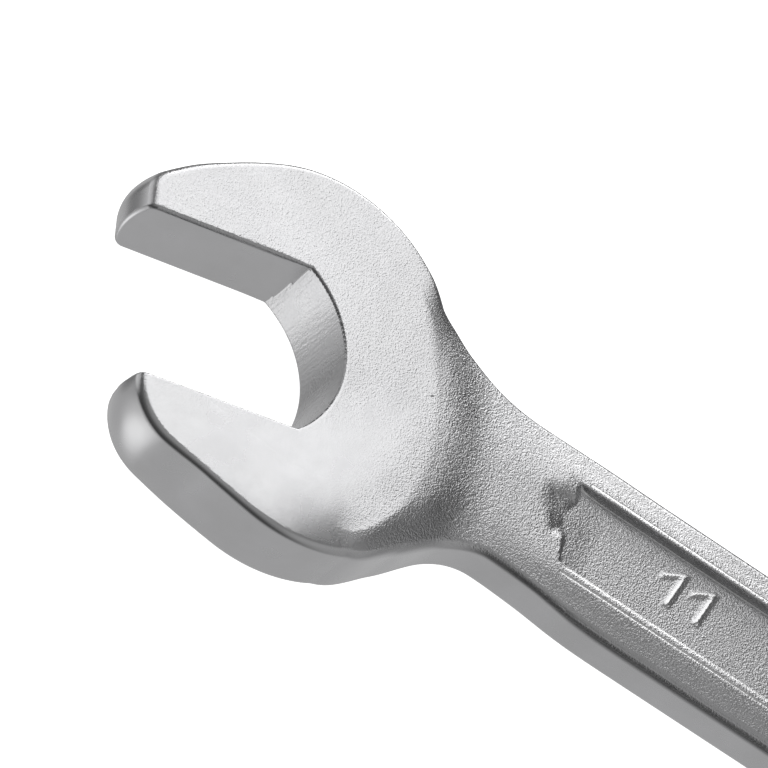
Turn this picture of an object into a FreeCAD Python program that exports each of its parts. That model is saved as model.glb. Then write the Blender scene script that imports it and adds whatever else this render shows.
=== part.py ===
"""Combination wrench, 11 mm: an open jaw at one end and a 12-point ring at the other.

One steel forging, modelled as three sections that meet face to face: the open head with
its neck, the panelled shank, and the cranked ring head. Millimetres, +Z up. The origin is
the centre of a nut seated in the open jaw, on the mid-plane; +X runs along the shank
towards the ring.
"""

import FreeCAD, Part
import math
import os

import Sketcher

V = FreeCAD.Vector
UP = V(0, 0, 1)

SIZES = [
    ("AcrossFlats", 11.0, "nut size, for both the jaw and the ring"),
    ("JawAngle", 15.0, "the jaw's turn out of the shank's line, degrees"),
    ("HeadThickness", 5.0, "open head, face to face"),
    ("FarWidest", 4.2, "widest line on the long jaw's side, from the nut centre"),
    ("FarHalfWidth", 12.4, "half width there"),
    ("FarSideRadius", 9.5, "curve of the head's side there"),
    ("FarFlankTurn", 16.0, "where the side gives way to the long jaw's flank, degrees"),
    ("FarFlankRadius", 24.0, "flank of the long jaw"),
    ("FarReach", 6.95, "tip of the long jaw, past the nut centre"),
    ("FarTipRadius", 1.8, "corner of the long jaw's tip, in plan"),
    ("NearWidest", 5.2, "widest line on the short jaw's side"),
    ("NearHalfWidth", 12.6, "half width there"),
    ("NearSideRadius", 10.0, "curve of the head's side there"),
    ("NearFlankTurn", 22.0, "where the side gives way to the short jaw's flank, degrees"),
    ("NearFlankRadius", 60.0, "flank of the short jaw"),
    ("NearReach", 6.1, "tip of the short jaw, past the nut centre"),
    ("NearTipRadius", 2.6, "corner of the short jaw's tip, in plan"),
    ("BackRadius", 16.0, "back curve of the head"),
    ("HeadEdgeRadius", 0.6, "rounding of the head's rims"),
    ("ThroatRadius", 8.1, "curve at the bottom of the jaw"),
    ("ThroatDepth", 6.6, "bottom of the jaw, from the nut centre"),
    ("ThroatCornerRadius", 1.2, "between a jaw flat and the throat"),
    ("MouthLength", 9.0, "how far the jaw cut runs out past the nut centre"),
    ("ShankY", 1.5, "the shank's centre line, beside the nut centre"),
    ("ShankHalfWidth", 5.73, "half of the shank's width"),
    ("WallHalfHeight", 1.37, "half height of the shank's side wall"),
    ("CrestHalfWidth", 3.4, "outer edge of the panel's rim"),
    ("CrestHalfHeight", 1.83, "half thickness of the shank at the rim"),
    ("ShoulderBreak", 0.45, "width of the flat that breaks each shoulder"),
    ("PanelHalfWidth", 2.95, "panel opening at the rim"),
    ("PanelFloor", 1.25, "height of the panel's floor above the mid-plane"),
    ("PanelDraft", 14.0, "slope of the panel's walls, degrees"),
    ("PanelStart", 23.1, "panel's end near the open head"),
    ("PanelEnd", 104.0, "panel's end near the ring"),
    ("PanelNose", 1.5, "tab at the middle of the panel's end"),
    ("NumeralHeight", 3.1, "raised size numerals, foot to top"),
    ("NumeralStroke", 0.6, "stroke width of the numerals"),
    ("NumeralRise", 0.28, "numerals above the panel's floor"),
    ("NumeralRoot", 0.1, "how far the numerals reach down into the floor"),
    ("NumeralPitch", 2.2, "from one numeral to the next"),
    ("NumeralX", 30.9, "foot of the first numeral"),
    ("NumeralY", -0.9, "foot of the numerals, from the shank's centre line"),
    ("NeckPlane", 26.0, "where the open head ends and the shank begins"),
    ("RingPlane", 106.0, "where the shank ends and the ring head begins"),
    ("RingX", 129.5, "centre of the ring"),
    ("RingLift", 2.2, "centre of the ring above the shank's mid-plane"),
    ("RingTilt", 15.0, "crank of the ring head, degrees"),
    ("RingDiameter", 17.4, "outside of the ring"),
    ("RingHeight", 8.0, "ring, face to face"),
    ("RingEdgeRadius", 1.3, "rounding of the ring's outer rims"),
    ("LeadIn", 0.5, "depth of the cone at each mouth of the ring's bore"),
    ("ConeInset", 0.3, "how far inside the bore's flats the cone starts"),
    ("ConeMargin", 0.1, "how far outside the bore's corners the cone ends"),
    ("Overrun", 1.0, "how far cutting shapes run out past what they cut"),
    ("SlabWidth", 60.0, "block that parts the forging, across the shank"),
    ("SlabHeight", 40.0, "the same block, from below to above"),
]

# Sections of the neck between the open head and the shank, from the shank inwards:
# distance along X, far and near half widths, side wall and crest half heights, crest half width.
NECK_STATIONS = [
    ("NeckA", 26.0, 5.73, 5.73, 1.37, 1.83, 3.4),
    ("NeckB", 22.5, 5.62, 5.25, 1.37, 1.83, 3.2),
    ("NeckC", 19.5, 5.6, 5.1, 1.4, 1.86, 2.8),
    ("NeckD", 16.5, 5.95, 6.2, 1.46, 1.95, 3.0),
    ("NeckE", 14.0, 6.8, 8.6, 1.52, 2.05, 4.0),
    ("NeckF", 11.0, 8.0, 11.0, 1.6, 2.1, 5.0),
]

# The neck between the shank and the ring, the same way, with the section's lift at the end.
RING_NECK_STATIONS = [
    ("RingNeckA", 106.0, 5.73, 1.37, 1.83, 3.4, 0.0),
    ("RingNeckB", 111.0, 5.4, 1.42, 2.0, 2.8, 0.0),
    ("RingNeckC", 116.5, 5.1, 1.6, 2.5, 2.4, 0.25),
    ("RingNeckD", 121.0, 5.9, 2.2, 3.1, 3.0, 0.7),
    ("RingNeckE", 125.0, 6.9, 2.4, 3.2, 3.8, 1.2),
]


def write_sizes(doc):
    """The driving dimensions, one alias to a row."""
    sheet = doc.addObject("Spreadsheet::Sheet", "Sizes")
    rows = list(SIZES)
    for name, x, far, near, wall, crest, crest_half in NECK_STATIONS:
        rows += [
            (name + "X", x, "station of the neck"),
            (name + "Far", far, "half width on the long jaw's side"),
            (name + "Near", near, "half width on the short jaw's side"),
            (name + "Wall", wall, "half height of the side wall"),
            (name + "Crest", crest, "half height of the middle"),
            (name + "Inner", crest_half, "half width of the flat middle"),
        ]
    for name, x, half, wall, crest, crest_half, lift in RING_NECK_STATIONS:
        rows += [
            (name + "X", x, "station of the ring's neck"),
            (name + "Half", half, "half width"),
            (name + "Wall", wall, "half height of the side wall"),
            (name + "Crest", crest, "half height of the middle"),
            (name + "Inner", crest_half, "half width of the flat middle"),
            (name + "Lift", lift, "lift of the section's centre"),
        ]
    for number, (alias, value, meaning) in enumerate(rows, start=1):
        sheet.set("A%d" % number, meaning)
        sheet.set("B%d" % number, str(value))
        sheet.setAlias("B%d" % number, alias)
    doc.recompute()
    return sheet


def new_body(doc, name):
    body = doc.addObject("PartDesign::Body", name)
    body.Label = name
    return body


def origin_plane(body, role):
    for feature in body.Origin.OriginFeatures:
        if feature.Role == role:
            return feature
    raise RuntimeError("no origin plane " + role)


def new_sketch(body, name, role, offset=None):
    """A sketch on one of the body's own origin planes, lifted off it by a sheet value."""
    sketch = body.newObject("Sketcher::SketchObject", name)
    sketch.AttachmentSupport = [(origin_plane(body, role), "")]
    sketch.MapMode = "FlatFace"
    if offset:
        sketch.setExpression("AttachmentOffset.Base.z", offset)
    return sketch


def pin(sketch, axis, geo, point, value, expression):
    """Hold one coordinate of a sketch point at a sheet value, whichever side it lies on."""
    kind = "Distance" + axis
    if value >= 0:
        index = sketch.addConstraint(Sketcher.Constraint(kind, -1, 1, geo, point, value))
        sketch.setExpression("Constraints[%d]" % index, expression)
    else:
        index = sketch.addConstraint(Sketcher.Constraint(kind, geo, point, -1, 1, -value))
        sketch.setExpression("Constraints[%d]" % index, "-(%s)" % expression)


def bound(sketch, kind, geo, value, expression):
    """A radius bound to a sheet value."""
    index = sketch.addConstraint(Sketcher.Constraint(kind, geo, value))
    sketch.setExpression("Constraints[%d]" % index, expression)


def polygon(sketch, corners):
    """A closed outline; each corner is ((x, expression), (y, expression))."""
    count = len(corners)
    points = [V(x[0], y[0], 0) for x, y in corners]
    for i in range(count):
        sketch.addGeometry(Part.LineSegment(points[i], points[(i + 1) % count]), False)
    for i in range(count):
        sketch.addConstraint(Sketcher.Constraint("Coincident", i, 2, (i + 1) % count, 1))
    for i, (x, y) in enumerate(corners):
        pin(sketch, "X", i, 1, x[0], x[1])
        pin(sketch, "Y", i, 1, y[0], y[1])


def arc(centre, radius, start, end):
    """An arc that runs counter-clockwise between two angles in degrees."""
    circle = Part.Circle(centre, UP, radius)
    return Part.ArcOfCircle(circle, math.radians(start), math.radians(end))


def direction(a, b):
    """Angle of the line from a to b, in degrees."""
    return math.degrees(math.atan2(b.y - a.y, b.x - a.x))


def pad(body, sketch, expression, midplane):
    feature = body.newObject("PartDesign::Pad", sketch.Name + "Pad")
    feature.Profile = sketch
    feature.Midplane = midplane
    feature.setExpression("Length", expression)
    return feature


def jaw_side(sheet, name, side):
    """Centres of one jaw's side, flank and tip arcs, and the direction in which side meets flank.

    side is +1 for the long jaw and -1 for the short one.
    """
    radius = getattr(sheet, name + "SideRadius")
    flank_radius = getattr(sheet, name + "FlankRadius")
    tip_radius = getattr(sheet, name + "TipRadius")
    turn = math.radians(getattr(sheet, name + "FlankTurn"))
    half_width = getattr(sheet, name + "HalfWidth")
    centre = V(getattr(sheet, name + "Widest"), side * (half_width - radius), 0)
    outward = V(-math.sin(turn), side * math.cos(turn), 0)
    flank = centre - outward * (flank_radius - radius)
    tip_x = tip_radius - getattr(sheet, name + "Reach")
    rise = math.sqrt((flank_radius - tip_radius) ** 2 - (tip_x - flank.x) ** 2)
    return centre, flank, V(tip_x, flank.y + side * rise, 0), outward


def back_centre(sheet, far, near):
    """Centre of the back arc, which is tangent to both side arcs from outside them."""
    far_gap = sheet.BackRadius - sheet.FarSideRadius
    near_gap = sheet.BackRadius - sheet.NearSideRadius
    line = near - far
    along = (far_gap**2 - near_gap**2 + line.Length**2) / (2 * line.Length)
    across = math.sqrt(far_gap**2 - along**2)
    line.normalize()
    return far + line * along + V(line.y, -line.x, 0) * across


def head_outline(body, sheet):
    """Plan of the open head before the jaw is cut: seven arcs and three short lines."""
    sketch = new_sketch(body, "HeadOutline", "XY_Plane")
    far_side, far_flank, far_tip, far_out = jaw_side(sheet, "Far", 1)
    near_side, near_flank, near_tip, near_out = jaw_side(sheet, "Near", -1)
    back = back_centre(sheet, far_side, near_side)
    zero = V(0, 0, 0)
    far_join = direction(zero, far_out)
    near_join = direction(zero, near_out)
    far_end = direction(far_flank, far_tip)
    near_end = direction(near_flank, near_tip)
    far_turn = direction(back, far_side)
    near_turn = direction(back, near_side)
    sketch.addGeometry([
        arc(far_tip, sheet.FarTipRadius, far_end, 180),
        arc(far_flank, sheet.FarFlankRadius, far_join, far_end),
        arc(far_side, sheet.FarSideRadius, far_turn, far_join),
        arc(back, sheet.BackRadius, near_turn, far_turn),
        arc(near_side, sheet.NearSideRadius, near_join, near_turn),
        arc(near_flank, sheet.NearFlankRadius, near_end, near_join),
        arc(near_tip, sheet.NearTipRadius, 180, 360 + near_end),
        Part.LineSegment(V(-sheet.NearReach, near_tip.y, 0), V(-sheet.NearReach, 0, 0)),
        Part.LineSegment(V(-sheet.NearReach, 0, 0), V(-sheet.FarReach, 0, 0)),
        Part.LineSegment(V(-sheet.FarReach, 0, 0), V(-sheet.FarReach, far_tip.y, 0)),
    ], False)
    for first, end, second, start in [
        (0, 1, 1, 2), (1, 1, 2, 2), (2, 1, 3, 2), (3, 1, 4, 2), (4, 1, 5, 2), (5, 1, 6, 2),
        (6, 1, 7, 1), (9, 2, 0, 2),
    ]:
        sketch.addConstraint(Sketcher.Constraint("Tangent", first, end, second, start))
    sketch.addConstraint(Sketcher.Constraint("Coincident", 7, 2, 8, 1))
    sketch.addConstraint(Sketcher.Constraint("Coincident", 8, 2, 9, 1))
    for geo, name in enumerate([
        "FarTipRadius", "FarFlankRadius", "FarSideRadius", "BackRadius",
        "NearSideRadius", "NearFlankRadius", "NearTipRadius",
    ]):
        bound(sketch, "Radius", geo, getattr(sheet, name), "Sizes." + name)
    for geo, centre, name, sign in [(2, far_side, "Far", ""), (4, near_side, "Near", "-")]:
        offset = "%s(Sizes.%sHalfWidth - Sizes.%sSideRadius)" % (sign, name, name)
        pin(sketch, "X", geo, 3, centre.x, "Sizes.%sWidest" % name)
        pin(sketch, "Y", geo, 3, centre.y, offset)
    pin(sketch, "X", 8, 2, -sheet.FarReach, "-Sizes.FarReach")
    pin(sketch, "X", 8, 1, -sheet.NearReach, "-Sizes.NearReach")
    return sketch


def jaw_cut(body, sheet):
    """The slot between the two flats, with its curved throat."""
    sketch = new_sketch(body, "JawCut", "XY_Plane")
    half = sheet.AcrossFlats / 2
    corner = sheet.ThroatCornerRadius
    throat = V(sheet.ThroatDepth - sheet.ThroatRadius, 0, 0)
    run = sheet.ThroatRadius - corner
    corner_x = throat.x + math.sqrt(run**2 - (half - corner) ** 2)
    top = V(corner_x, half - corner, 0)
    foot = V(corner_x, corner - half, 0)
    turn = direction(throat, top)
    mouth = -sheet.MouthLength
    pieces = [
        Part.LineSegment(V(mouth, half, 0), V(corner_x, half, 0)),
        arc(top, corner, turn, 90),
        arc(throat, sheet.ThroatRadius, -turn, turn),
        arc(foot, corner, -90, -turn),
        Part.LineSegment(V(corner_x, -half, 0), V(mouth, -half, 0)),
        Part.LineSegment(V(mouth, -half, 0), V(mouth, half, 0)),
    ]
    sketch.addGeometry(pieces, False)
    for first, end, second, start in [(0, 2, 1, 2), (1, 1, 2, 2), (2, 1, 3, 2), (3, 1, 4, 1)]:
        sketch.addConstraint(Sketcher.Constraint("Tangent", first, end, second, start))
    sketch.addConstraint(Sketcher.Constraint("Coincident", 4, 2, 5, 1))
    sketch.addConstraint(Sketcher.Constraint("Coincident", 5, 2, 0, 1))
    for geo, name in [(1, "ThroatCornerRadius"), (2, "ThroatRadius"), (3, "ThroatCornerRadius")]:
        bound(sketch, "Radius", geo, getattr(sheet, name), "Sizes." + name)
    pin(sketch, "X", 2, 3, throat.x, "Sizes.ThroatDepth - Sizes.ThroatRadius")
    pin(sketch, "X", 0, 1, mouth, "-Sizes.MouthLength")
    pin(sketch, "Y", 0, 1, half, "Sizes.AcrossFlats / 2")
    pin(sketch, "X", 4, 2, mouth, "-Sizes.MouthLength")
    pin(sketch, "Y", 4, 2, -half, "-Sizes.AcrossFlats / 2")
    pocket = body.newObject("PartDesign::Pocket", "JawPocket")
    pocket.Profile = sketch
    pocket.Midplane = True
    pocket.setExpression("Length", "Sizes.HeadThickness * 2")
    return pocket


def rim_edges(shape, height, left_out):
    """Names of the edges that lie in the faces at +/-height, but for the ones left out."""
    names = []
    for number, edge in enumerate(shape.Edges, start=1):
        box = edge.BoundBox
        flat = box.ZLength < 1e-6 and abs(abs(box.ZMin) - height) < 1e-6
        if flat and not left_out(edge):
            names.append("Edge%d" % number)
    return names


def open_head(doc, sheet):
    """The plate of the open head with its jaw cut and rounded rims, turned to the jaw's angle."""
    body = new_body(doc, "HeadPlate")
    outline = head_outline(body, sheet)
    pad(body, outline, "Sizes.HeadThickness", True)
    doc.recompute()
    pocket = jaw_cut(body, sheet)
    doc.recompute()
    half = sheet.AcrossFlats / 2

    def in_cut(edge):
        middle = edge.valueAt((edge.FirstParameter + edge.LastParameter) / 2)
        return abs(middle.y) < half + 1e-4 and middle.x < sheet.ThroatDepth + 1e-4

    fillet = body.newObject("PartDesign::Fillet", "HeadRims")
    fillet.Base = (pocket, rim_edges(pocket.Shape, sheet.HeadThickness / 2, in_cut))
    fillet.setExpression("Radius", "Sizes.HeadEdgeRadius")
    body.Placement = FreeCAD.Placement(V(0, 0, 0), FreeCAD.Rotation(UP, sheet.JawAngle))
    body.setExpression("Placement.Rotation.Angle", "Sizes.JawAngle")
    doc.recompute()
    return body


def section(body, sheet, name, offset, far, near, wall, crest, inner, lift=(0.0, "0")):
    """A section across the shank's line: flat middles, bevels, broken shoulders and side walls.

    Every size is a pair, its value and its expression; the outline runs counter-clockwise.
    """
    sketch = new_sketch(body, name + "Section", "YZ_Plane", offset)
    brk = cell(sheet, "ShoulderBreak")

    def quarter(side, up, width):
        """The wall's end, the shoulder's other side and the bevel's top, for one quarter."""
        rise = brk[0] * (crest[0] - wall[0]) / (width[0] - inner[0])
        slope = "%s * (%s - %s) / (%s - %s)" % (brk[1], crest[1], wall[1], width[1], inner[1])
        places = [
            (width, (wall[0] - brk[0], "%s - %s" % (wall[1], brk[1]))),
            ((width[0] - brk[0], "%s - %s" % (width[1], brk[1])),
             (wall[0] + rise, "%s + %s" % (wall[1], slope))),
            (inner, crest),
        ]
        return [
            ((side * y[0], "%d * (%s)" % (side, y[1])),
             (up * z[0] + lift[0], "%d * (%s) + %s" % (up, z[1], lift[1])))
            for y, z in places
        ]

    polygon(
        sketch,
        quarter(1, 1, far) + quarter(-1, 1, near)[::-1]
        + quarter(-1, -1, near) + quarter(1, -1, far)[::-1],
    )
    return sketch


def cell(sheet, name):
    return getattr(sheet, name), "Sizes." + name


def loft(body, sketches, name):
    feature = body.newObject("PartDesign::AdditiveLoft", name)
    feature.Profile = sketches[0]
    feature.Sections = sketches[1:]
    return feature


def on_shank_line(body):
    """Put a body on the shank's centre line."""
    body.setExpression("Placement.Base.y", "Sizes.ShankY")


def neck(doc, sheet):
    """The flare from the shank into the open head."""
    body = new_body(doc, "Neck")
    sketches = []
    for name in [station[0] for station in NECK_STATIONS]:
        values = [cell(sheet, name + part) for part in ("Far", "Near", "Wall", "Crest", "Inner")]
        sketches.append(section(body, sheet, name, "Sizes." + name + "X", *values))
    doc.recompute()
    loft(body, sketches, "NeckLoft")
    on_shank_line(body)
    doc.recompute()
    return body


def ring_neck(doc, sheet):
    """The taper from the shank up into the ring."""
    body = new_body(doc, "RingNeck")
    sketches = []
    for name in [station[0] for station in RING_NECK_STATIONS]:
        half = cell(sheet, name + "Half")
        values = [cell(sheet, name + part) for part in ("Wall", "Crest", "Inner", "Lift")]
        sketches.append(section(body, sheet, name, "Sizes." + name + "X", half, half, *values))
    doc.recompute()
    loft(body, sketches, "RingNeckLoft")
    on_shank_line(body)
    doc.recompute()
    return body


def shank_bar(doc, sheet):
    """The straight bar between the two necks, before its panels are sunk."""
    body = new_body(doc, "ShankBar")
    half = cell(sheet, "ShankHalfWidth")
    values = [cell(sheet, name) for name in ("WallHalfHeight", "CrestHalfHeight", "CrestHalfWidth")]
    sketch = section(body, sheet, "Bar", "Sizes.NeckPlane", half, half, *values)
    pad(body, sketch, "Sizes.RingPlane - Sizes.NeckPlane", False)
    on_shank_line(body)
    doc.recompute()
    return body


def panel_tool(doc, sheet):
    """What is sunk out of the shank's upper face: a long tapered pocket with a tab at each end."""
    body = new_body(doc, "PanelTool")
    sketch = new_sketch(body, "PanelOutline", "XY_Plane", "Sizes.PanelFloor")
    depth = sheet.CrestHalfHeight - sheet.PanelFloor
    lean = depth * math.tan(math.radians(sheet.PanelDraft))
    floor = sheet.PanelHalfWidth - lean
    floor_text = (
        "(Sizes.PanelHalfWidth"
        " - (Sizes.CrestHalfHeight - Sizes.PanelFloor) * tan(Sizes.PanelDraft * 1 deg))"
    )
    start = cell(sheet, "PanelStart")
    end = cell(sheet, "PanelEnd")
    nose = sheet.PanelNose

    def along(place, sign, share):
        return place[0] + sign * share * nose, "%s + %g * Sizes.PanelNose" % (place[1], sign * share)

    def across(share):
        return share * floor, "%g * %s" % (share, floor_text)

    polygon(sketch, [
        (start, across(-1)),
        (end, across(-1)),
        (end, across(-0.45)),
        (along(end, 1, 1.0), across(-0.2)),
        (along(end, 1, 1.0), across(0.2)),
        (end, across(0.45)),
        (end, across(1)),
        (start, across(1)),
        (start, across(0.6)),
        (along(start, -1, 0.95), across(0.42)),
        (along(start, -1, 1.0), across(0.15)),
        (along(start, -1, 0.55), across(-0.4)),
        (start, across(-0.42)),
    ])
    feature = pad(body, sketch, "2 * (Sizes.CrestHalfHeight - Sizes.PanelFloor)", False)
    feature.setExpression("TaperAngle", "Sizes.PanelDraft")
    on_shank_line(body)
    doc.recompute()
    return body


def numeral(doc, sheet, index):
    """A raised figure one, leaning forwards, on the floor of the upper panel."""
    body = new_body(doc, "Numeral%d" % (index + 1))
    root = "Sizes.PanelFloor - Sizes.NumeralRoot"
    sketch = new_sketch(body, "NumeralOutline%d" % (index + 1), "XY_Plane", root)
    place = "Sizes.NumeralX + %d * Sizes.NumeralPitch" % index
    left = sheet.NumeralX + index * sheet.NumeralPitch

    def corner(strokes, lean, rise):
        x = (
            left + strokes * sheet.NumeralStroke + lean * sheet.NumeralHeight,
            "%s + %g * Sizes.NumeralStroke + %g * Sizes.NumeralHeight" % (place, strokes, lean),
        )
        y = (
            sheet.NumeralY + rise * sheet.NumeralHeight,
            "Sizes.NumeralY + %g * Sizes.NumeralHeight" % rise,
        )
        return x, y

    polygon(sketch, [
        corner(-0.5, 0.0, 0.0),
        corner(0.5, 0.0, 0.0),
        corner(0.5, 0.22, 1.0),
        corner(-0.3, 0.22, 1.0),
        corner(-0.5, -0.22, 0.70),
        corner(-0.5, -0.22, 0.52),
        corner(-0.5, 0.165, 0.76),
    ])
    pad(body, sketch, "Sizes.NumeralRise + Sizes.NumeralRoot", False)
    on_shank_line(body)
    doc.recompute()
    return body


def tilt_to_ring(body, sheet):
    """Lift a body built around Z onto the ring's cranked axis."""
    body.Placement = FreeCAD.Placement(V(0, 0, 0), FreeCAD.Rotation(V(0, -1, 0), sheet.RingTilt))
    body.setExpression("Placement.Rotation.Angle", "Sizes.RingTilt")
    body.setExpression("Placement.Base.x", "Sizes.RingX")
    body.setExpression("Placement.Base.y", "Sizes.ShankY")
    body.setExpression("Placement.Base.z", "Sizes.RingLift")


def ring_blank(doc, sheet):
    """The ring before it is bored: a disc with well rounded rims."""
    body = new_body(doc, "RingBlank")
    sketch = new_sketch(body, "RingOutline", "XY_Plane")
    sketch.addGeometry(Part.Circle(V(0, 0, 0), UP, sheet.RingDiameter / 2), False)
    sketch.addConstraint(Sketcher.Constraint("Coincident", 0, 3, -1, 1))
    bound(sketch, "Radius", 0, sheet.RingDiameter / 2, "Sizes.RingDiameter / 2")
    base = pad(body, sketch, "Sizes.RingHeight", True)
    doc.recompute()
    fillet = body.newObject("PartDesign::Fillet", "RingRims")
    fillet.Base = (base, rim_edges(base.Shape, sheet.RingHeight / 2, lambda edge: False))
    fillet.setExpression("Radius", "Sizes.RingEdgeRadius")
    tilt_to_ring(body, sheet)
    doc.recompute()
    return body


def hexagon(body, sheet, name, turn):
    """A regular hexagon of the nut's size, turned about the bore's axis."""
    sketch = new_sketch(body, name, "XY_Plane")
    radius = sheet.AcrossFlats / 2 / math.cos(math.radians(30))
    radius_text = "Sizes.AcrossFlats / 2 / cos(30 deg)"
    corners = []
    for number in range(6):
        angle = turn + 60 * number
        x = (
            radius * math.cos(math.radians(angle)),
            "%s * cos(%g deg)" % (radius_text, angle),
        )
        y = (
            radius * math.sin(math.radians(angle)),
            "%s * sin(%g deg)" % (radius_text, angle),
        )
        corners.append((x, y))
    polygon(sketch, corners)
    return sketch


def bore_tool(doc, sheet):
    """What is cut out of the ring: two crossed hexagons and a lead-in cone at each mouth."""
    body = new_body(doc, "BoreTool")
    for number, turn in enumerate((0, 30), start=1):
        sketch = hexagon(body, sheet, "BoreHexagon%d" % number, turn)
        pad(body, sketch, "Sizes.RingHeight + 2 * Sizes.Overrun", True)
        doc.recompute()
    mouth = new_sketch(body, "BoreMouths", "XZ_Plane")
    half = (sheet.RingHeight / 2, "Sizes.RingHeight / 2")
    corner_text = "Sizes.AcrossFlats / 2 / cos(30 deg)"
    corner = sheet.AcrossFlats / 2 / math.cos(math.radians(30))
    waist = (sheet.AcrossFlats / 2 - sheet.ConeInset, "Sizes.AcrossFlats / 2 - Sizes.ConeInset")
    wide = (corner + sheet.ConeMargin, corner_text + " + Sizes.ConeMargin")
    top = (half[0] + sheet.Overrun, half[1] + " + Sizes.Overrun")
    reach = wide[0] - waist[0]
    slope_text = "(%s - (%s))" % (wide[1], waist[1])
    zero = (0.0, "0")
    polygon(mouth, [
        (zero, top),
        (zero, (half[0] - sheet.LeadIn, half[1] + " - Sizes.LeadIn")),
        (waist, (half[0] - sheet.LeadIn, half[1] + " - Sizes.LeadIn")),
        (wide, half),
        ((wide[0] + reach, wide[1] + " + " + slope_text), top),
    ])
    doc.recompute()
    cone = body.newObject("PartDesign::Revolution", "BoreCone")
    cone.Profile = mouth
    cone.ReferenceAxis = (mouth, ["V_Axis"])
    cone.Angle = 360
    doc.recompute()
    mirrored = body.newObject("PartDesign::Mirrored", "BoreConeBelow")
    mirrored.Originals = [cone]
    mirrored.MirrorPlane = (origin_plane(body, "XY_Plane"), [""])
    body.Tip = mirrored
    tilt_to_ring(body, sheet)
    doc.recompute()
    return body


def boolean(doc, kind, name, parts):
    result = doc.addObject("Part::" + kind, name)
    if kind == "MultiFuse":
        result.Shapes = parts
        result.Refine = True
    else:
        result.Base, result.Tool = parts
    doc.recompute()
    return result


def slab(doc, name, low, high):
    """A block that takes in everything between two planes across the shank."""
    box = doc.addObject("Part::Box", name)
    box.setExpression("Placement.Base.x", low)
    box.setExpression("Placement.Base.y", "-Sizes.SlabWidth / 2")
    box.setExpression("Placement.Base.z", "-Sizes.SlabHeight / 2")
    box.setExpression("Length", "(%s) - (%s)" % (high, low))
    box.setExpression("Width", "Sizes.SlabWidth")
    box.setExpression("Height", "Sizes.SlabHeight")
    doc.recompute()
    return box


def check(doc, pieces):
    """Stop if any object failed or any piece is not one sound solid."""
    for item in doc.Objects:
        if "Invalid" in item.State or "Error" in item.State:
            raise RuntimeError("failed: " + item.Name + " " + item.getStatusString())
    for piece in pieces:
        shape = piece.Shape
        if shape.isNull() or not shape.isValid() or len(shape.Solids) != 1:
            raise RuntimeError("unsound: " + piece.Label)


def main():
    doc = FreeCAD.newDocument("CombinationWrench")
    sheet = write_sizes(doc)
    forging = boolean(doc, "MultiFuse", "Blank", [
        open_head(doc, sheet),
        neck(doc, sheet),
        shank_bar(doc, sheet),
        ring_neck(doc, sheet),
        ring_blank(doc, sheet),
    ])
    solid_volume = forging.Shape.Volume
    forging = boolean(doc, "Cut", "Bored", [forging, bore_tool(doc, sheet)])
    panel = panel_tool(doc, sheet)
    under = doc.addObject("Part::Mirroring", "PanelToolBelow")
    under.Source = panel
    under.Normal = UP
    doc.recompute()
    forging = boolean(doc, "Cut", "UpperPanel", [forging, panel])
    forging = boolean(doc, "Cut", "LowerPanel", [forging, under])
    if not forging.Shape.Volume < 0.9 * solid_volume:
        raise RuntimeError("the bore and the panels took too little away")
    numerals = [numeral(doc, sheet, index) for index in range(2)]
    forging = boolean(doc, "MultiFuse", "Forging", [forging] + numerals)

    pieces = []
    for label, low, high in [
        ("open_end_head", "-Sizes.FarHalfWidth * 2", "Sizes.NeckPlane"),
        ("shank", "Sizes.NeckPlane", "Sizes.RingPlane"),
        ("ring_head", "Sizes.RingPlane", "Sizes.RingX + Sizes.RingDiameter"),
    ]:
        piece = boolean(doc, "Common", label, [forging, slab(doc, label + "_slab", low, high)])
        piece.Label = label
        pieces.append(piece)
    check(doc, pieces)

    os.makedirs("parts", exist_ok=True)
    for piece in pieces:
        piece.Shape.exportStep("parts/" + piece.Label + ".step")
        print(piece.Label, "%.1f mm3" % piece.Shape.Volume)


main()
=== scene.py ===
import math

import bpy
import numpy as np
from mathutils import Matrix, Vector


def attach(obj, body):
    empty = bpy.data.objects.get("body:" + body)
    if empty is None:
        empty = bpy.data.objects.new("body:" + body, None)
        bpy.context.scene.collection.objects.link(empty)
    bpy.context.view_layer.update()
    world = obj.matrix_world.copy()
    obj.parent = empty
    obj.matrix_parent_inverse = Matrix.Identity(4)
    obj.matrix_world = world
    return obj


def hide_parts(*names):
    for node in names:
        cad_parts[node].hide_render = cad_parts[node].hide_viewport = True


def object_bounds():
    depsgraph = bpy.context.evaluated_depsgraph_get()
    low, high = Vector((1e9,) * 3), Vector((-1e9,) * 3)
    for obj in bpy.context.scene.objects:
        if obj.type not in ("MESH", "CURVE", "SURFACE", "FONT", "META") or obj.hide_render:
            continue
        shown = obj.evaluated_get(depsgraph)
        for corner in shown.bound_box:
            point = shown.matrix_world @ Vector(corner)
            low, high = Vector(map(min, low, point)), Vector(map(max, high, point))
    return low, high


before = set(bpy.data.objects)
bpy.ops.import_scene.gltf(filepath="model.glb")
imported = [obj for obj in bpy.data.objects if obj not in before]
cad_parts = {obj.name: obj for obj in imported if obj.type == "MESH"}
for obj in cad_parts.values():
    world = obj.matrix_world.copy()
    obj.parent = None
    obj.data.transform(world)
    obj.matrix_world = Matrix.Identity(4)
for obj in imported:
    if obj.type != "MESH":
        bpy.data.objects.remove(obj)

# A forged and chromed combination wrench. Its three CAD nodes are replaced by one continuous skin,
# parted where the nodes meet. The skin is the zero surface of a signed distance field, built from
# the same sizes as the CAD, with the soft edges that forging, grinding and plating leave.
# All sizes here are millimetres in the row frame; meshes are made in metres.

MM = 0.001
FINE = 1.0          # grid step multiplier
CAD_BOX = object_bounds()

# ---------------------------------------------------------------- sizes

JAW_TURN = math.radians(15)
FLAT = 5.5                                  # half the distance across the nut's flats
HEAD_HALF = 2.5
BACK_RADIUS = 16.0

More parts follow.
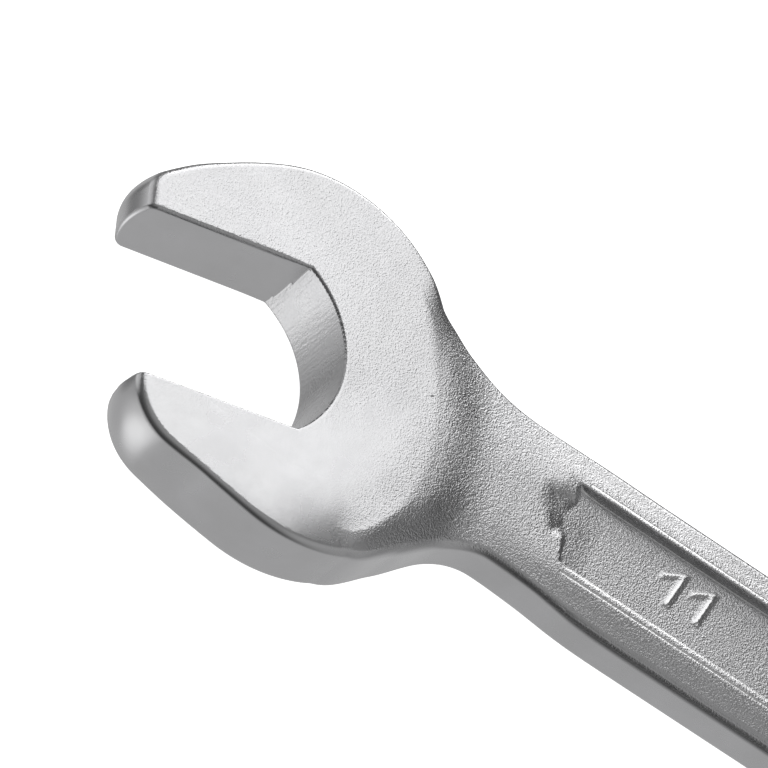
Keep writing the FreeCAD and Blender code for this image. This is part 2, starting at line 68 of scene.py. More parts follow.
# One side of the head: widest point, half width there, arc radii, and where the tip reaches.
FAR = dict(widest=4.2, half=12.4, side=9.5, turn=16, flank=24.0, reach=6.7, tip=1.7)
NEAR = dict(widest=5.2, half=12.6, side=10.0, turn=22, flank=60.0, reach=6.1, tip=4.0)

THROAT_CENTRE, THROAT_RADIUS, THROAT_DRAFT = -1.5, 8.0, 0.05
CREASE_AT, CREASE_TURN, CORNER_RADIUS = 3.9, math.radians(52), 7.03

AXIS_Y = 1.5                                # shank axis beside the jaw's centre
CREST_AT = 3.4                              # half width of the shank's crest
NECK, RING_NECK = 26.0, 106.0               # where the three nodes meet
BAR_MIDDLE, BAR_HALF = 68.0, 58.5           # the bar runs on into both heads
HEAD_ENDS, RING_STARTS = 24.0, 112.0        # the open head and the ring lie beyond these
NECK_FILLET, RING_FILLET = 0.15, 1.5        # the inner corners where the bar meets each head

# Bar sections at x: half width on the far and near sides, wall, crest, crest's half width,
# height of the section's centre, and the rounding of shoulder and crest.
STATIONS = (
    (9.0, 7.8, 10.0, 1.60, 2.12, 5.2, 0.0, 0.60, 0.60),
    (11.0, 8.0, 11.0, 1.60, 2.10, 5.0, 0.0, 0.60, 0.60),
    (14.0, 6.85, 8.65, 1.55, 2.05, 4.0, 0.0, 0.55, 0.60),
    (16.5, 5.95, 6.2, 1.48, 1.98, 3.0, 0.0, 0.50, 0.50),
    (19.5, 5.6, 5.05, 1.42, 1.90, 2.8, 0.0, 0.50, 0.35),
    (22.5, 5.62, 5.2, 1.39, 1.85, 3.2, 0.0, 0.45, 0.15),
    (26.0, 5.73, 5.6, 1.35, 1.83, 3.4, 0.0, 0.58, 0.05),
    (30.0, 5.73, 5.7, 1.34, 1.83, 3.4, 0.0, 0.62, 0.05),
    (106.0, 5.73, 5.7, 1.34, 1.83, 3.4, 0.0, 0.62, 0.05),
    (111.0, 5.4, 5.4, 1.42, 2.00, 2.8, 0.0, 0.5, 0.30),
    (116.5, 5.2, 5.2, 1.65, 2.50, 2.4, 0.25, 0.8, 0.60),
    (121.0, 5.9, 5.9, 2.20, 3.10, 3.0, 0.7, 1.1, 0.80),
    (125.0, 6.9, 6.9, 2.40, 3.20, 3.8, 1.2, 1.2, 0.90),
)

# Over distance from the back arc's centre: how far the head's flat face has given way to the neck.
PLATEAU = ((13.4, 0.0), (14.2, 0.10), (17.2, 0.92), (18.2, 1.0))
# Over how far the bar's flank lies inside the head's outline: how much the neck gives back to the head.
NECK_SHARE = ((-2, 0), (4, 1))
FAR_NECK = 2                                # the far side does so this many times faster
# Along the jaws: the roundness of the outer edges.
FAR_EDGE = ((-7, 0.45), (0, 0.48), (10, 0.48), (14, 0.5))
NEAR_EDGE = ((-7, 0.45), (-2, 0.38), (3, 0.42), (8, 0.5), (12, 0.75), (16, 1.0))
# How much the near jaw's face falls away towards its outer edge, and how wide that is.
FALL = ((-6, 0.05), (0, 0.12), (4, 0.30), (9, 0.55), (14, 0.40), (18, 0.0))
FALL_WIDTH = 4.6
# The tips' end faces: how far they bulge at mid-height, and lean out for each unit of height.
FAR_TIP = dict(bulge=0.62, lean=0.033)
NEAR_TIP = dict(bulge=0.53, lean=0.096)

# The roundness of the lower edges at x.
LOWER_EDGE = ((10, 0.52), (23, 0.35), (108, 0.35), (118, 0.9), (121, 1.1))

PANEL_FLOOR, PANEL_HALF, PANEL_DRAFT = 1.25, 2.806, math.radians(14)
FILLET = ((22.8, 0.35), (24.0, 0.06), (103.4, 0.06), (104.6, 0.2))
PANEL_STARTS, PANEL_ENDS = 20.0, 107.0      # the panel lies well within these
FAR_RIM, NEAR_RIM = 0.14, 0.08              # the roundness of its rim on each side
PANEL_SHIFT = 0.12                          # its middle lies off the shank's axis
# Along the panel: its ends slope more gently, and its floor rises towards the neck.
RUN_OUT = ((21.9, 0.2), (22.7, 0.30), (23.5, 1.0), (103.6, 1.0), (104.2, 0.32))
RAMP = ((21.6, 0.32), (22.6, 0.27), (25.5, 0.0))
# The recess in plan: x and distance from the shank's axis, from the near corner at its start.
PANEL = ((23.40, -2.81), (104.0, -2.81), (104.0, -1.23), (105.5, -0.55), (105.5, 0.55),
         (104.0, 1.23), (104.0, 2.81), (23.10, 2.81), (23.05, 1.80), (21.75, 1.10), (21.62, 0.45),
         (22.30, -1.02), (23.10, -1.05))

NUMERAL = dict(height=2.95, stroke=0.58, rise=0.14, x=30.75, y=-0.82, pitch=2.15)
# The figure 1: strokes across, lean along, heights up.
FIGURE = ((-.5, 0, 0), (.5, 0, 0), (.5, .22, 1), (-.3, .22, 1), (-.5, -.22, .70),
          (-.5, -.22, .52), (-.5, .165, .76))

RING_AT, RING_LIFT, RING_TILT = 129.5, 2.2, math.radians(15)
RING_RADIUS, RING_HALF, RING_EDGE, LEAD_IN = 8.7, 4.0, 1.3, 0.5
BORE_EDGE, BORE_MARGIN = 0.2, 0.6           # its rim's roundness, and the lead-in's size past the flats

# ---------------------------------------------------------------- distance helpers


def rounded_and(a, b, r):
    """The common part of two fields, its outer edge rounded by r."""
    return np.minimum(np.maximum(a, b), -r) + np.hypot(np.maximum(a + r, 0), np.maximum(b + r, 0))


def rounded_or(a, b, r):
    """Both fields together, the inner corner between them filled by r."""
    return np.maximum(np.minimum(a, b), r) - np.hypot(np.maximum(r - a, 0), np.maximum(r - b, 0))


def glide(x, knots):
    """Height at x of a smooth curve through (x, height) knots, level beyond its ends."""
    at, height = np.array(knots, float).T
    slope = np.gradient(height, at)
    slope[0] = slope[-1] = 0
    steps = np.diff(height)
    slope[1:-1][steps[1:] * steps[:-1] <= 0] = 0
    x = np.clip(x, at[0], at[-1])
    i = np.clip(np.searchsorted(at, x) - 1, 0, len(at) - 2)
    run = at[i + 1] - at[i]
    t = (x - at[i]) / run
    s = t * t * (3 - 2 * t)
    bend = t * (1 - t) * run * ((1 - t) * slope[i] - t * slope[i + 1])
    return height[i] * (1 - s) + height[i + 1] * s + bend


def smooth_min(a, b, width):
    """The lower of two heights, eased together where they come within width of each other."""
    share = np.clip(0.5 + 0.5 * (b - a) / width, 0, 1)
    return b + (a - b) * share - width * share * (1 - share)


def polygon(x, y, corners):
    """Signed distance to a polygon's outline."""
    nearest = np.full(np.broadcast(x, y).shape, np.inf)
    inside = np.zeros(nearest.shape, bool)
    for (ax, ay), (bx, by) in zip(corners, corners[1:] + corners[:1]):
        ex, ey = bx - ax, by - ay
        t = np.clip(((x - ax) * ex + (y - ay) * ey) / (ex * ex + ey * ey), 0, 1)
        nearest = np.minimum(nearest, np.hypot(x - ax - t * ex, y - ay - t * ey))
        level = (ay > y) != (by > y)
        inside ^= level & (x < ax + ex * (y - ay) / (ey if ey else 1))
    return np.where(inside, -nearest, nearest)


def left_of(u, v, start, end):
    """True where (u, v) lies left of the line from start through end."""
    du, dv = end[0] - start[0], end[1] - start[1]
    return du * (v - start[1]) - dv * (u - start[0]) > 0


# ---------------------------------------------------------------- open head


def back_centre():
    """Centre of the back arc, tangent inside to both side arcs."""
    far = Vector((FAR["widest"], FAR["half"] - FAR["side"]))
    near = Vector((NEAR["widest"], NEAR["side"] - NEAR["half"]))
    a, b = BACK_RADIUS - FAR["side"], BACK_RADIUS - NEAR["side"]
    gap = near - far
    along = (a * a - b * b + gap.length_squared) / (2 * gap.length)
    aside = math.sqrt(a * a - along * along)
    unit = gap.normalized()
    return far + unit * along + Vector((unit.y, -unit.x)) * aside


BACK = back_centre()


def side_distance(u, v, size, back_v):
    """Distance to one side's chain of arcs: back, side, flank, tip. v grows outwards."""
    back = (BACK.x, back_v)
    side = (size["widest"], size["half"] - size["side"])
    turn = math.radians(size["turn"])
    drop = size["flank"] - size["side"]
    flank = (side[0] + math.sin(turn) * drop, side[1] - math.cos(turn) * drop)
    tip_u = size["tip"] - size["reach"]
    tip = (tip_u, flank[1] + math.sqrt((size["flank"] - size["tip"]) ** 2 - (tip_u - flank[0]) ** 2))

    def arc(centre, radius):
        return np.hypot(u - centre[0], v - centre[1]) - radius

    distance = arc(back, BACK_RADIUS)
    distance = np.where(left_of(u, v, back, side), arc(side, size["side"]), distance)
    distance = np.where(left_of(u, v, flank, side), arc(flank, size["flank"]), distance)
    nose = np.hypot(np.maximum(tip[0] - u, 0), np.maximum(v - tip[1], 0)) - size["tip"]
    return np.where(left_of(u, v, flank, tip), nose, distance)


def head_outline(u, v):
    far = side_distance(u, v, FAR, BACK.y)
    near = side_distance(u, -v, NEAR, -BACK.y)
    return np.where(v > 0, far, near)


def slot(u, v, draft):
    """The mouth between the jaw flats, and its round throat that starts at a crease; the throat
    is smaller by draft."""
    v = np.abs(v)
    corner = (CREASE_AT - CORNER_RADIUS * math.cos(CREASE_TURN),
              FLAT - CORNER_RADIUS * math.sin(CREASE_TURN))

    def arc(centre, radius):
        return np.hypot(np.maximum(u - centre[0], 0), v - centre[1]) - radius + draft

    middle = (THROAT_CENTRE, 0)
    throat = np.where(left_of(u, v, middle, corner), arc(corner, CORNER_RADIUS),
                      arc(middle, THROAT_RADIUS))
    return np.maximum(v - FLAT, throat)


def jaw_frame(x, y):
    """u runs from the tips towards the throat, v towards the far jaw."""
    return (x * math.cos(JAW_TURN) + y * math.sin(JAW_TURN),
            y * math.cos(JAW_TURN) - x * math.sin(JAW_TURN))


# ---------------------------------------------------------------- neck, shank and ring


def forging(x, y, z):
    """Head plate and bar in one: an outline in plan, a height over it, and rounded edges."""
    at = [row[0] for row in STATIONS]
    far, near, wall, crest, crest_at, lift, edge, soft = (
        glide(x, list(zip(at, column))) for column in list(zip(*STATIONS))[1:])
    across = np.abs(y - AXIS_Y)
    half = np.where(y > AXIS_Y, far, near)
    bevel = wall + np.maximum(half - across, 0) * (crest - wall) / (half - crest_at)
    top = smooth_min(bevel, crest, soft)
    sides = np.maximum(across - half, np.abs(x - BAR_MIDDLE) - BAR_HALF)
    edge = np.where(z > lift, edge, glide(x, LOWER_EDGE))
    if x.min() < HEAD_ENDS:
        u, v = jaw_frame(x, y)
        inward = np.hypot(u - BACK.x, v - BACK.y)
        grown = [tip["lean"] * z + tip["bulge"] * (1 - (z / HEAD_HALF) ** 2)
                 for tip in (FAR_TIP, NEAR_TIP)]
        grown = np.where(v > 0, *grown) * glide(u, ((-4.5, 1.0), (-1.5, 0.0)))
        head = head_outline(u + grown, v)
        # the neck's height holds within the neck's own flanks
        inside = (sides - head) * np.where(y > AXIS_Y, FAR_NECK, 1)
        neck = glide(inward, PLATEAU) * (1 - glide(inside, NECK_SHARE))
        sides = rounded_or(sides, head, NECK_FILLET)
        top = HEAD_HALF + (top - HEAD_HALF) * neck
        head_edge = np.where(v > 0, glide(u, FAR_EDGE), glide(u, NEAR_EDGE))
        edge = np.where(z > 0, edge * neck + head_edge * (1 - neck), edge)
        fall = glide(u, FALL) * ((v < 0) & (z > 0)) * np.clip(1 + sides / FALL_WIDTH, 0, 1) ** 2
        top = top - fall
    body = rounded_and(sides, np.abs(z - lift) - top, edge)
    if x.min() < HEAD_ENDS:
        throat_draft = THROAT_DRAFT * (HEAD_HALF - z)
        slot_edge = 0.16 + 0.12 * (v > 0) * glide(u, ((1.5, 1), (4.5, 0)))
        body = rounded_and(body, -slot(u, v, throat_draft), slot_edge)
    return body


def figures(x, y):
    """Distance to the outlines of the size figures."""
    n = NUMERAL
    nearest = np.inf
    for shift in (0, n["pitch"]):
        corners = [(n["x"] + shift + across * n["stroke"] + lean * n["height"],
                    AXIS_Y + n["y"] + up * n["height"]) for across, lean, up in FIGURE]
        nearest = np.minimum(nearest, polygon(x, y, corners))
    return nearest


def panel(x, y, z):
    """The long recess in each face, with the size figures standing up from the upper one."""
    across = y - AXIS_Y - PANEL_SHIFT
    outline = np.abs(across) - PANEL_HALF + 0 * x
    if x.min() < 27 or x.max() > 101:
        outline = polygon(x, across, list(PANEL)) * glide(x, RUN_OUT)
    floor = PANEL_FLOOR + glide(x, RAMP) * (1 - 0.4 * glide(across, ((0.3, 0), (1.8, 1))))
    if x.max() > 29 and x.min() < 36:
        floor = floor + NUMERAL["rise"] * (z > 0) * glide(figures(x, y), ((-0.3, 1), (0.1, 0)))
    above = floor - np.abs(z)
    wall = (outline + above * math.tan(PANEL_DRAFT)) * math.cos(PANEL_DRAFT)
    return rounded_and(wall, above, glide(x, FILLET))


def ring_blank(x, y, z):
    """The tilted ring: its distance field, with the height and the two axes across it."""
    dx, dz = x - RING_AT, z - RING_LIFT
    along = dx * math.cos(RING_TILT) + dz * math.sin(RING_TILT)
    up = dz * math.cos(RING_TILT) - dx * math.sin(RING_TILT)
    across = y - AXIS_Y
    blank = rounded_and(np.hypot(along, across) - RING_RADIUS, np.abs(up) - RING_HALF, RING_EDGE)
    return blank, along, across, up


def bore(along, across, up):
    """Twelve-point bore: two hexagons a twelfth of a turn apart, with a lead-in at each face."""
    hexes = []
    for turn in (0, 30):
        angles = [math.radians(turn + 60 * k) for k in range(3)]
        sides = [np.abs(along * math.cos(a) + across * math.sin(a)) for a in angles]
        hexes.append(np.maximum.reduce(sides) - FLAT)
    lead = np.hypot(along, across) - (FLAT + BORE_MARGIN) - np.maximum(np.abs(up) - RING_HALF + LEAD_IN, -9)
    points = rounded_or(hexes[0], hexes[1], 0.05)
    return np.minimum(points, lead * math.sqrt(0.5))


def wrench(x, y, z):
    """Signed distance to the whole wrench, negative inside."""
    body = forging(x, y, z)
    if x.max() > RING_STARTS:
        blank, along, across, up = ring_blank(x, y, z)
        body = rounded_or(body, blank, RING_FILLET)
        body = rounded_and(body, -bore(along, across, up), BORE_EDGE)
    if x.max() > PANEL_STARTS and x.min() < PANEL_ENDS:
        body = rounded_and(body, -panel(x, y, z), np.where(y > AXIS_Y, FAR_RIM, NEAR_RIM))
    return body


# ---------------------------------------------------------------- from field to mesh


def ruler(*marks):
    """Grid lines through (place, step) marks, each step holding up to the next place."""
    lines = []
    for (a, step), (b, _) in zip(marks, marks[1:]):
        lines.append(np.linspace(a, b, max(1, round((b - a) / (step * FINE))) + 1)[:-1])
    return np.concatenate(lines + [[marks[-1][0]]])


CELL = 0.15
GRID_X = ruler((-9.6, CELL), (NECK - 0.05, 9), (NECK + 0.05, 0.5), (29.4, 0.11), (34.4, 0.7),
               (102.6, CELL), (RING_NECK - 0.05, 9), (RING_NECK + 0.05, CELL), (139.8, 9))
GRID_Y = ruler((-12.3, 0.14), (-2.2, 0.08), (-1.15, 0.14), (4.15, 0.08), (5.2, 0.14), (14.6, 9))
GRID_Z = ruler((-4.5, 0.12), (8.6, 9))
# The part of the grid worth looking at for each stretch of x: y from, to, z from, to.
WINDOWS = ((HEAD_ENDS, (-12.3, 14.6, -3.2, 3.2)), (RING_STARTS, (-5.5, 8.5, -2.4, 2.4)),
           (math.inf, (-8.5, 11.5, -4.5, 8.6)))


def sample_grid():
    """The field on the grid, worked out a few planes at a time."""
    value = np.ones((len(GRID_X), len(GRID_Y), len(GRID_Z)), np.float32)
    for first in range(0, len(GRID_X), 16):
        xs = GRID_X[first:first + 16]
        y0, y1, z0, z1 = next(box for limit, box in WINDOWS if xs[0] < limit)
        js = slice(*np.searchsorted(GRID_Y, (y0, y1)))
        ks = slice(*np.searchsorted(GRID_Z, (z0, z1)))
        value[first:first + 16, js, ks] = wrench(
            xs[:, None, None], GRID_Y[None, js, None], GRID_Z[None, None, ks])
    return value


def shifted(array, corner):
    return array[tuple(slice(s, n - 1 + s) for s, n in zip(corner, array.shape))]


def net_vertices(value):
    """One vertex in each grid cell that the surface crosses, at the mean of its edge crossings."""
    corners = [(i, j, k) for i in (0, 1) for j in (0, 1) for k in (0, 1)]
    inside = sum(shifted(value < 0, c).astype(np.int8) for c in corners)
    cells = np.argwhere((inside > 0) & (inside < 8))
    total, hits = np.zeros((len(cells), 3)), np.zeros((len(cells), 1))
    for a in corners:
        for axis in range(3):
            if a[axis]:
                continue
            b = tuple(1 if m == axis else a[m] for m in range(3))
            start, end = cells + a, cells + b
            fa, fb = value[tuple(start.T)], value[tuple(end.T)]
            cut = (fa < 0) != (fb < 0)
            t = np.where(cut, fa / np.where(cut, fa - fb, 1), 0)[:, None]
            place = [grid_points(corner) for corner in (start, end)]
            total += cut[:, None] * (place[0] * (1 - t) + place[1] * t)
            hits += cut[:, None]
    return cells, total / hits


def grid_points(index):
    return np.stack([GRID_X[index[:, 0]], GRID_Y[index[:, 1]], GRID_Z[index[:, 2]]], axis=1)


def net_quads(value, cells):
    """The quads joining those vertices, facing outwards."""
    number = np.full(np.array(value.shape) - 1, -1, np.int32)
    number[tuple(cells.T)] = np.arange(len(cells))
    inside = value < 0
    quads = []
    for axis in range(3):
        step = tuple(1 if m == axis else 0 for m in range(3))
        lower = tuple(slice(0, n - s) for n, s in zip(value.shape, step))
        upper = tuple(slice(s, n) for n, s in zip(value.shape, step))
        nodes = np.argwhere(inside[lower] != inside[upper])
        across, up = (axis + 1) % 3, (axis + 2) % 3
        ring = []
        for da, du in ((-1, -1), (0, -1), (0, 0), (-1, 0)):
            cell = nodes.copy()
            cell[:, across] += da
            cell[:, up] += du
            ring.append(number[tuple(cell.T)])
        quad = np.stack(ring, axis=1)
        outward = inside[tuple(nodes.T)]
        quads.append(np.where(outward[:, None], quad, quad[:, ::-1]))
    return np.concatenate(quads)


def slope_at(points):
    """The field and its gradient at points, a run of them at a time."""
    small = 0.01
    value, slope = np.empty(len(points)), np.empty(points.shape)
    for first in range(0, len(points), 20000):
        run = slice(first, first + 20000)
        p = points[run]
        value[run] = wrench(*p.T)
        for m in range(3):
            step = np.zeros(3)
            step[m] = small
            slope[run, m] = (wrench(*(p + step).T) - wrench(*(p - step).T)) / (2 * small)
    return value, slope


def settle(points, held):
    """Moves each vertex onto the surface; held ones keep their x. Returns the normals too."""
    for _ in range(4):
        value, slope = slope_at(points)
        slope[held, 0] = 0
        size = np.maximum((slope ** 2).sum(axis=1), 0.05)
        push = np.clip(value / size, -0.12, 0.12)
        points = points - slope * push[:, None]
    slope = slope_at(points)[1]
    return points, slope / np.linalg.norm(slope, axis=1)[:, None]


def open_loops(quads):
    """The loops of edges that only one quad uses, each in the order a lid needs."""
    start = quads.ravel()
    end = np.roll(quads, -1, axis=1).ravel()
    size = int(quads.max()) + 1
    lone = ~np.isin(start.astype(np.int64) * size + end, end.astype(np.int64) * size + start)
    after = dict(zip(end[lone].tolist(), start[lone].tolist()))
    loops = []
    while after:
        loop = [next(iter(after))]
        while loop[-1] in after:
            loop.append(after.pop(loop[-1]))
        loops.append(loop[:-1])
    return loops


def make_piece(name, points, normals, quads, states):
    """One closed mesh from its share of the quads, with a lid over each cut."""
    used, quads = np.unique(quads, return_inverse=True)
    quads = quads.reshape(-1, 4)
    loops = open_loops(quads)
    mesh = bpy.data.meshes.new(name)
    mesh.from_pydata((points[used] * MM).tolist(), [], quads.tolist() + loops)
    mesh.update()
    corner = np.empty(len(mesh.loops), np.int32)
    mesh.loops.foreach_get("vertex_index", corner)
    facing = normals[used][corner]
    middle = points[used].mean(axis=0)
    for loop, polygon_data in zip(loops, mesh.polygons[len(quads):]):
        side = np.sign(points[used][loop[0]][0] - middle[0])
        run = slice(polygon_data.loop_start, polygon_data.loop_start + polygon_data.loop_total)
        facing[run] = (side, 0, 0)
    for label, state in zip(STATES, states):
        mesh.attributes.new(label, "FLOAT", "POINT").data.foreach_set("value", state[used])
    mesh.polygons.foreach_set("use_smooth", [True] * len(mesh.polygons))
    mesh.normals_split_custom_set(facing.tolist())
    piece = bpy.data.objects.new(name, mesh)
    bpy.context.collection.objects.link(piece)
    return piece


STATES = ("grain", "wear_and_highlight", "streak")
# How coarse the blasted grain is along the wrench, and across the open jaw.
COARSENESS = ((8, 0.0), (14, 0.6), (17, 0.8), (20, 0.6), (26, 1.0), (104, 1.0), (118, 0.6), (126, 0.3))
JAW_GRAIN, JAW_COARSENESS = 0.34, ((-8, 0.1), (-2, 1.0))
RUBBED_AND_HIGHLIT_WIDTH = 0.08                           # of the line along each crest that is rubbed smooth and painted bright as a highlight


def smooth_level(x, across, z, upright):
    """How much of the grain the level faces keep: none on walls, bevels and rubbed crests; and the rubbed
    crest line, which the colour also paints bright as a highlight.
    """
    level = np.clip((upright - 0.5) / 0.4, 0, 1)
    on_bar = glide(x, ((20, 0), (25, 1), (104, 1), (110, 0))) * (np.abs(z) > PANEL_FLOOR + 0.05)
    bevel = 1 - on_bar * glide(np.abs(across), ((3.4, 0.0), (4.6, 0.7)))
    # the crest lines: grain rubbed off, and bright colour painted there as a highlight
    worn_and_highlit = sum(np.exp(-((np.abs(across) - edge) / RUBBED_AND_HIGHLIT_WIDTH) ** 2)
               for edge in (CREST_AT, PANEL_HALF + 0.14))
    worn_and_highlit = np.clip(worn_and_highlit, 0, 1) * on_bar * (x > 23.5)
    return level * bevel * (1 - worn_and_highlit), worn_and_highlit


def surface_state(points, normals):
    """Grain, rubbed crests with a painted highlight, and broaching streaks of the skin at each point. The
    grain is coarse on the neck and in the panel and fine on the head. The crests and the figures are rubbed
    bright; on the crests the bright colour is also a painted highlight."""
    x, y, z = points.T
    u, v = jaw_frame(x, y)
    across = y - AXIS_Y
    coarse = glide(x, COARSENESS)
    jaw = JAW_GRAIN * glide(v - 0.25 * u, JAW_COARSENESS)
    coarse = np.maximum(coarse, jaw * (x < 60))
    upright = np.abs(normals[:, 2])
    tilted = np.abs(normals[:, 2] * math.cos(RING_TILT) - normals[:, 0] * math.sin(RING_TILT))
    level, worn_and_highlit = smooth_level(x, across, z, np.where(x > 118, tilted, upright))
    towards_flat = np.abs(normals[:, 1] * math.cos(JAW_TURN) - normals[:, 0] * math.sin(JAW_TURN))
    in_throat = (u > 2.5) & (u < 8) & (np.abs(v) < FLAT) & (upright < 0.5) & (towards_flat < 0.9)
    in_bore = (x > 120) & (tilted < 0.5) & (np.hypot(x - RING_AT, across) < 7)
    grain = np.where(in_throat, 0.3, coarse * (0.05 + 0.95 * level))
    streak = np.where(in_throat, 1.0, 0.0) + np.where(in_bore, 0.6, 0.0)
    by_figures = (np.abs(x - 32) < 3) & (np.abs(across) < 2.6)
    raised = by_figures * glide(z - PANEL_FLOOR, ((0.04, 0), (0.12, 1)))
    # the figure tops are rubbed; the crest lines are rubbed and also carry a painted highlight
    return grain * (1 - 0.7 * raised), 0.7 * worn_and_highlit + 0.3 * raised, streak


def build_skin():
    """The three pieces of the wrench, parted where the CAD nodes meet."""
    value = sample_grid()
    cells, points = net_vertices(value)
    quads = net_quads(value, cells)
    column = cells[:, 0]
    cuts = [int(np.searchsorted(GRID_X, place)) - 1 for place in (NECK, RING_NECK)]
    held = np.isin(column, cuts)
    for cut, place in zip(cuts, (NECK, RING_NECK)):
        points[column == cut, 0] = place
    points, normals = settle(points, held)
    states = surface_state(points, normals)
    low, high = column[quads].min(axis=1), column[quads].max(axis=1)
    limits = (0, cuts[0], cuts[1], len(GRID_X))
    pieces = {}
    for name, first, last in zip(("open_end_head", "shank", "ring_head"), limits, limits[1:]):
        share = (low >= first) & (high <= last) & ~((low == high) & np.isin(low, cuts))
        pieces[name] = make_piece(name + "_skin", points, normals, quads[share], states)
    return pieces


# ---------------------------------------------------------------- materials


class Nodes:
    """A short way to write node trees."""

    def __init__(self, tree):
        self.tree = tree

    def add(self, kind, values=None, **settings):
        node = self.tree.nodes.new(kind)
        for key, value in settings.items():
            setattr(node, key, value)
        for key, value in (values or {}).items():
            if isinstance(value, bpy.types.NodeSocket):
                self.tree.links.new(value, node.inputs[key])
            else:
                node.inputs[key].default_value = value
        return node

    def noise(self, at, scale, detail, rough=0.5):
        return self.add("ShaderNodeTexNoise", {"Vector": at, "Scale": scale, "Detail": detail,
                                               "Roughness": rough}).outputs["Fac"]

    def times(self, a, b):
        return self.add("ShaderNodeMath", {0: a, 1: b}, operation="MULTIPLY").outputs[0]

    def plus(self, a, b):
        return self.add("ShaderNodeMath", {0: a, 1: b}, operation="ADD").outputs[0]

    def spread(self, value, low, high, to_low, to_high):
        return self.add("ShaderNodeMapRange",
                        {0: value, 1: low, 2: high, 3: to_low, 4: to_high}).outputs[0]

    def mix(self, share, a, b):
        return self.add("ShaderNodeMix", {0: share, 6: a, 7: b}, data_type="RGBA").outputs[2]


BLAST, PITS, BROACH, POLISH, CLOUD = 10500, 5600, 5200, 340, 180    # waves of each noise in a metre
RELIEF_DEPTH = 5.0e-5                                              # metres
# the last colour is for the rubbed figure tops and crests; on the crests it is a painted highlight
DULL, BRIGHT, RUBBED_AND_HIGHLIT = (0.50, 0.50, 0.505, 1), (0.56, 0.56, 0.57, 1), (0.92, 0.92, 0.92, 1)


def satin_chrome():
    """Satin chrome over a blasted forging: grain, slow waves, and polish that comes and goes."""
    material = bpy.data.materials.new("satin_chrome_skin")
    material.use_nodes = True
    tree = material.node_tree
    n = Nodes(tree)
    shader = tree.nodes["Principled BSDF"]
    shader.inputs["Metallic"].default_value = 1.0
    grain, wear_and_highlight, streak = (n.add("ShaderNodeAttribute", attribute_name=label).outputs["Fac"]
                           for label in STATES)
    place = n.add("ShaderNodeTexCoord").outputs["Object"]
    drawn = n.add("ShaderNodeMapping", {"Vector": place, "Scale": (1, 1, 0.12)}).outputs[0]

    blasted = n.plus(n.noise(place, BLAST, 1), n.times(n.noise(place, PITS, 1), 0.8))
    broached = n.times(n.noise(drawn, BROACH, 2), 0.5)
    height = n.plus(n.times(blasted, grain), n.times(broached, streak))
    bump = n.add("ShaderNodeBump", {"Height": height, "Strength": 1.0, "Distance": RELIEF_DEPTH})
    rough = n.plus(n.spread(n.noise(place, POLISH, 4), 0.3, 0.7, 0.21, 0.29), n.times(grain, 0.07))

    tint = n.mix(n.spread(n.noise(place, CLOUD, 5, 0.6), 0.3, 0.7, 0, 1), DULL, BRIGHT)
    fleck = n.spread(blasted, 0.6, 1.2, -1.0, 1.0)
    flecked = n.add("ShaderNodeVectorMath",
                    {0: tint, "Scale": n.plus(1.0, n.times(fleck, n.times(grain, 0.16)))},
                    operation="SCALE").outputs[0]

    tree.links.new(bump.outputs["Normal"], shader.inputs["Normal"])
    tree.links.new(rough, shader.inputs["Roughness"])
    # mixes towards the bright colour on rubbed figure tops and on the crests, where it is a painted
    # highlight
    tree.links.new(n.mix(wear_and_highlight, flecked, RUBBED_AND_HIGHLIT), shader.inputs["Base Color"])
    return material


def dress(pieces):
    chrome = satin_chrome()
    for node, piece in pieces.items():
        piece.data.materials.append(chrome)
        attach(piece, "root")
        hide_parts(node)


# ---------------------------------------------------------------- stage


def add_floor():
    half = 1.5
    mesh = bpy.data.meshes.new("floor")
    low = CAD_BOX[0][2] - 0.05 * MM
    mesh.from_pydata([(-half, -half, low), (half, -half, low), (half, half, low), (-half, half, low)],
                     [], [(0, 1, 2, 3)])
    floor = bpy.data.objects.new("floor", mesh)
    bpy.context.collection.objects.link(floor)
    material = bpy.data.materials.new("floor_paint")
    material.use_nodes = True
    shader = material.node_tree.nodes["Principled BSDF"]
    shader.inputs["Base Color"].default_value = (0.9, 0.9, 0.9, 1)
    shader.inputs["Roughness"].default_value = 0.9
    shader.inputs["Emission Color"].default_value = (1, 1, 1, 1)
    shader.inputs["Emission Strength"].default_value = 1.0
    mesh.materials.append(material)
    floor.visible_glossy = False


def add_card(name, place, size, power, target=(0.02, 0, 0)):
    """A soft rectangular light at place, facing the target."""
    light = bpy.data.lights.new(name, "AREA")
    light.shape = "RECTANGLE"
    light.size, light.size_y = size
    light.energy = power
    card = bpy.data.objects.new(name, light)
    card.location = place
    card.rotation_euler = (Vector(target) - Vector(place)).to_track_quat("-Z", "Y").to_euler()
    bpy.context.collection.objects.link(card)


# Soft glows and shades in the surroundings, chosen for how the metal reflects them in the main view:
# towards, full within, gone beyond (degrees), and how much.
GLOWS = (((-0.44, -0.50, -0.74), 4, 25, 0.6),
         ((-0.62, -0.58, -0.45), 8, 42, 0.35),
         ((-0.70, 0.46, -0.57), 4, 18, -0.36),
         ((-0.93, 0.38, 0.05), 10, 32, 0.75),
         ((0.20, 0.88, -0.43), 8, 26, -0.40),
         ((0.84, -0.36, 0.40), 10, 45, 0.40))


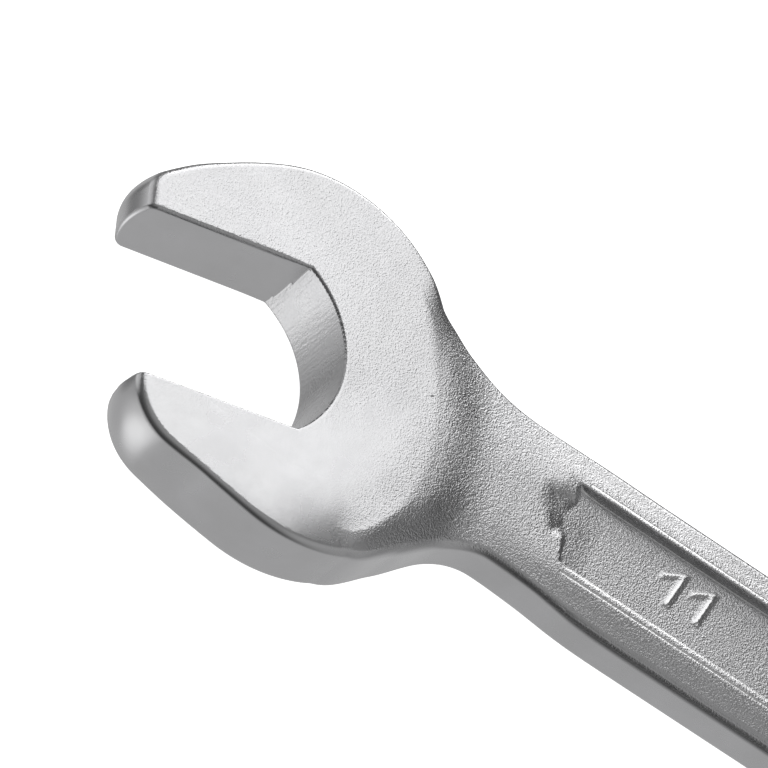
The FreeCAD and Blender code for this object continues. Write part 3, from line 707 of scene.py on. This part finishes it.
def add_world():
    """Studio surroundings by direction: grey overhead, dark at the sides, pale below, and the glows."""
    world = bpy.data.worlds.new("studio")
    world.use_nodes = True
    bpy.context.scene.world = world
    tree = world.node_tree
    n = Nodes(tree)
    direction = n.add("ShaderNodeTexCoord").outputs["Generated"]
    height = n.add("ShaderNodeSeparateXYZ", {0: direction}).outputs["Z"]
    ramp = n.add("ShaderNodeValToRGB", {"Fac": n.add(
        "ShaderNodeMapRange", {0: height, 1: -1, 2: 1, 3: 0, 4: 1}).outputs[0]})
    stops = ramp.color_ramp.elements
    stops[0].position, stops[0].color = 0.0, (0.62, 0.62, 0.62, 1)
    stops[1].position, stops[1].color = 1.0, (0.42, 0.42, 0.42, 1)
    for position, level in ((0.22, 0.60), (0.40, 0.30), (0.50, 0.12), (0.62, 0.05), (0.85, 0.14)):
        stop = stops.new(position)
        stop.color = (level, level, level, 1)
    level = ramp.outputs["Color"]
    for aim, inner, outer, change in GLOWS:
        aim = Vector(aim).normalized()
        near = n.add("ShaderNodeVectorMath", {0: direction, 1: aim}, operation="DOT_PRODUCT")
        glow = n.add("ShaderNodeMapRange",
                     {0: near.outputs["Value"], 1: math.cos(math.radians(outer)),
                      2: math.cos(math.radians(inner)), 3: 0, 4: change},
                     interpolation_type="SMOOTHSTEP")
        level = n.plus(level, glow.outputs[0])
    tree.links.new(level, tree.nodes["Background"].inputs["Color"])


def add_camera():
    place = Vector((-90.650, -245.522, 298.827)) * MM
    forward = Vector((0.24999, 0.62068, -0.74314)).normalized()
    right = Vector((0.80722, 0.29024, 0.51396)).normalized()
    up = right.cross(forward)
    data = bpy.data.cameras.new("camera")
    data.lens = 322.4
    data.sensor_width = 36.0
    camera = bpy.data.objects.new("camera", data)
    turn = Matrix((right, up, -forward)).transposed()
    camera.matrix_world = Matrix.Translation(place) @ turn.to_4x4()
    bpy.context.collection.objects.link(camera)
    bpy.context.scene.camera = camera


bpy.context.scene.view_settings.view_transform = "Standard"
add_camera()
add_floor()
add_world()
add_card("far_card", (-0.034, 0.215, 0.185), (0.302, 0.275), 0.39, (-0.034, 0.03, 0))
add_card("low_card", (0.05, 0.45, 0.08), (0.30, 0.16), 0.44, (0.02, 0, 0))
dress(build_skin())
